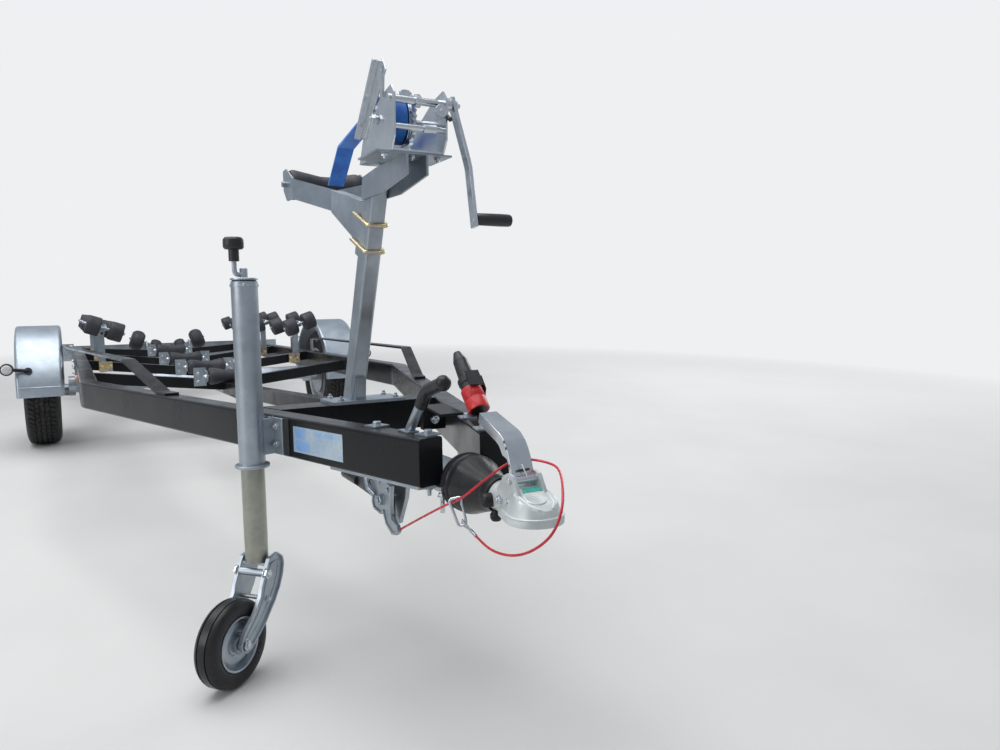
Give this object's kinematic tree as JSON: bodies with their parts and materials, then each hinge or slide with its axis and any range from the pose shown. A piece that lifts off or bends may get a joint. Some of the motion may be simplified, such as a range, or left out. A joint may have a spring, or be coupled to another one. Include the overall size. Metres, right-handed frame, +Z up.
{
  "type": "boat trailer",
  "caption": "Single-axle braked boat trailer with a black V frame, keel rollers and rocking roller cradles, winch post and jockey wheel, parked nose-up",
  "frame": {"origin": "on the floor under the middle of the trailer's box", "axes": "+X toward the coupling, +Y to the left, +Z up"},
  "size_m": [5.5854, 1.9438, 1.3688],
  "materials": {
    "black_steel": "gloss black powder coat, a little dusty",
    "galvanised": "hot-dip galvanised, dull blue grey with faint spangle",
    "zinc_bright": "bright zinc plate",
    "yellow_zinc": "yellow passivated zinc",
    "silver_steel": "silver wheel paint",
    "guard_metal": "smooth bright galvanised sheet",
    "road_tyre": "black tyre rubber",
    "roller_rubber": "dull blue-black moulded rubber",
    "soft_rubber": "black rubber, slightly sheeny",
    "cast_white": "pale cast metal, worn",
    "black_plastic": "moulded black plastic",
    "blue_webbing": "woven blue polyester webbing",
    "red_lens": "moulded lamp lens",
    "red_cable": "red plastic-covered steel cable"
  },
  "bodies": {
    "root": {"rail_right": "black_steel", "rail_left": "black_steel", "winch_beam": "black_steel", "keel_beam": "black_steel", "crossbeams": "black_steel", "axle_beam": "galvanised", "swing_arms": "galvanised", "mudguard_right": "guard_metal", "mudguard_left": "guard_metal", "guard_stays": "galvanised", "side_bars": "black_steel", "keel_brackets": "galvanised", "stern_carriers": "galvanised", "stern_discs": "roller_rubber", "cradle_posts": "galvanised", "clamp_plates": "yellow_zinc", "winch_post": "galvanised", "winch_frame": "zinc_bright", "winch_strap": "blue_webbing", "bow_arm": "galvanised", "overrun_housing": "galvanised", "bellows": "soft_rubber", "coupling_head": "cast_white", "brake_rod": "galvanised", "breakaway_cable": "red_cable", "carabiner": "zinc_bright", "manoeuvre_handle": "galvanised", "jockey_clamp": "galvanised", "jockey_outer_tube": "galvanised", "jockey_crank": "galvanised", "plug": "black_plastic", "plug_holder": "black_steel", "lamp_board": "galvanised", "rear_lamps": "red_lens", "marker_lamps": "soft_rubber"},
    "wheel_right": {"rim_right": "silver_steel", "tyre_right": "road_tyre"},
    "wheel_left": {"rim_left": "silver_steel", "tyre_left": "road_tyre"},
    "jockey_leg": {"jockey_inner_tube": "zinc_bright"},
    "jockey_caster": {"jockey_fork": "galvanised"},
    "jockey_wheel": {"jockey_rim": "galvanised", "jockey_tyre": "soft_rubber"},
    "winch_drum_body": {"winch_drum": "zinc_bright", "winch_webbing": "blue_webbing"},
    "winch_handle": {"winch_crank": "zinc_bright", "crank_grip": "black_plastic"},
    "coupling_lever": {"coupling_handle": "zinc_bright"},
    "brake_lever": {"handbrake_lever": "black_plastic"},
    "bow_roller_body": {"bow_roller": "roller_rubber"},
    "keel_roller_1_body": {"keel_roller_1": "roller_rubber"},
    "keel_roller_2_body": {"keel_roller_2": "roller_rubber"},
    "keel_roller_3_body": {"keel_roller_3": "roller_rubber"},
    "keel_roller_4_body": {"keel_roller_4": "roller_rubber"},
    "cradle_right_1_body": {"cradle_right_1": "galvanised"},
    "cradle_right_2_body": {"cradle_right_2": "galvanised"},
    "cradle_right_3_body": {"cradle_right_3": "galvanised"},
    "cradle_left_1_body": {"cradle_left_1": "galvanised"},
    "cradle_left_2_body": {"cradle_left_2": "galvanised"},
    "cradle_left_3_body": {"cradle_left_3": "galvanised"}
  },
  "joints": [
    {"name": "wheel_right_spin", "type": "hinge", "parent": "root", "child": "wheel_right", "pos_m": [-1.15351, -0.805, 0.29], "axis": [0, 1, 0], "continuous": true},
    {"name": "wheel_left_spin", "type": "hinge", "parent": "root", "child": "wheel_left", "pos_m": [-1.15351, 0.805, 0.29], "axis": [0, 1, 0], "continuous": true},
    {"name": "jockey_extend", "type": "slide", "parent": "root", "child": "jockey_leg", "axis": [-0.0441, 0, 0.999], "range_m": [-0.1, 0.155]},
    {"name": "jockey_swivel", "type": "hinge", "parent": "jockey_leg", "child": "jockey_caster", "pos_m": [1.90984, -0.30562, 0.31098], "axis": [-0.0441, 0, 0.999], "continuous": true},
    {"name": "jockey_wheel_spin", "type": "hinge", "parent": "jockey_caster", "child": "jockey_wheel", "pos_m": [1.98295, -0.38267, 0.1], "axis": [0.7698, 0.6374, 0.0339], "continuous": true},
    {"name": "winch_drum_turn", "type": "hinge", "parent": "root", "child": "winch_drum_body", "pos_m": [2.10455, 0, 1.26849], "axis": [0, 1, 0], "continuous": true},
    {"name": "winch_crank_turn", "type": "hinge", "parent": "root", "child": "winch_handle", "pos_m": [2.18128, 0.088, 1.2989], "axis": [0, 1, 0], "continuous": true},
    {"name": "coupling_handle_lift", "type": "hinge", "parent": "root", "child": "coupling_lever", "pos_m": [2.6349, 0, 0.5912], "axis": [0, 1, 0], "range_deg": [0, 40]},
    {"name": "handbrake_pull", "type": "hinge", "parent": "root", "child": "brake_lever", "pos_m": [2.17781, -0.071, 0.44692], "axis": [0, 1, 0], "range_deg": [0, 62]},
    {"name": "keel_roller_1_spin", "type": "hinge", "parent": "root", "child": "keel_roller_1_body", "pos_m": [-0.07975, 0, 0.45547], "axis": [0, 1, 0], "continuous": true},
    {"name": "keel_roller_2_spin", "type": "hinge", "parent": "root", "child": "keel_roller_2_body", "pos_m": [-0.77916, 0, 0.42662], "axis": [0, 1, 0], "continuous": true},
    {"name": "keel_roller_3_spin", "type": "hinge", "parent": "root", "child": "keel_roller_3_body", "pos_m": [-1.62843, 0, 0.39117], "axis": [0, 1, 0], "continuous": true},
    {"name": "keel_roller_4_spin", "type": "hinge", "parent": "root", "child": "keel_roller_4_body", "pos_m": [-2.42866, 0, 0.37891], "axis": [0, 1, 0], "continuous": true},
    {"name": "bow_roller_spin", "type": "hinge", "parent": "root", "child": "bow_roller_body", "pos_m": [1.51958, 0, 1.18664], "axis": [0, 1, 0], "continuous": true},
    {"name": "cradle_right_1_rock", "type": "hinge", "parent": "root", "child": "cradle_right_1_body", "pos_m": [-0.82408, -0.5, 0.65086], "axis": [0.0143, 0.9455, -0.3253], "range_deg": [-15, 15]},
    {"name": "cradle_right_2_rock", "type": "hinge", "parent": "root", "child": "cradle_right_2_body", "pos_m": [-1.67326, -0.5, 0.61342], "axis": [0.0143, 0.9455, -0.3253], "range_deg": [-15, 15]},
    {"name": "cradle_right_3_rock", "type": "hinge", "parent": "root", "child": "cradle_right_3_body", "pos_m": [-2.47248, -0.5, 0.57817], "axis": [0.0143, 0.9455, -0.3253], "range_deg": [-15, 15]},
    {"name": "cradle_left_1_rock", "type": "hinge", "parent": "root", "child": "cradle_left_1_body", "pos_m": [-0.82408, 0.5, 0.65086], "axis": [-0.0143, 0.9455, 0.3253], "range_deg": [-15, 15]},
    {"name": "cradle_left_2_rock", "type": "hinge", "parent": "root", "child": "cradle_left_2_body", "pos_m": [-1.67326, 0.5, 0.61342], "axis": [-0.0143, 0.9455, 0.3253], "range_deg": [-15, 15]},
    {"name": "cradle_left_3_rock", "type": "hinge", "parent": "root", "child": "cradle_left_3_body", "pos_m": [-2.47248, 0.5, 0.57817], "axis": [-0.0143, 0.9455, 0.3253], "range_deg": [-15, 15]}
  ],
  "couplings": [
    {"joint": "winch_crank_turn", "follows": "winch_drum_turn", "ratio": -4.8571}
  ]
}
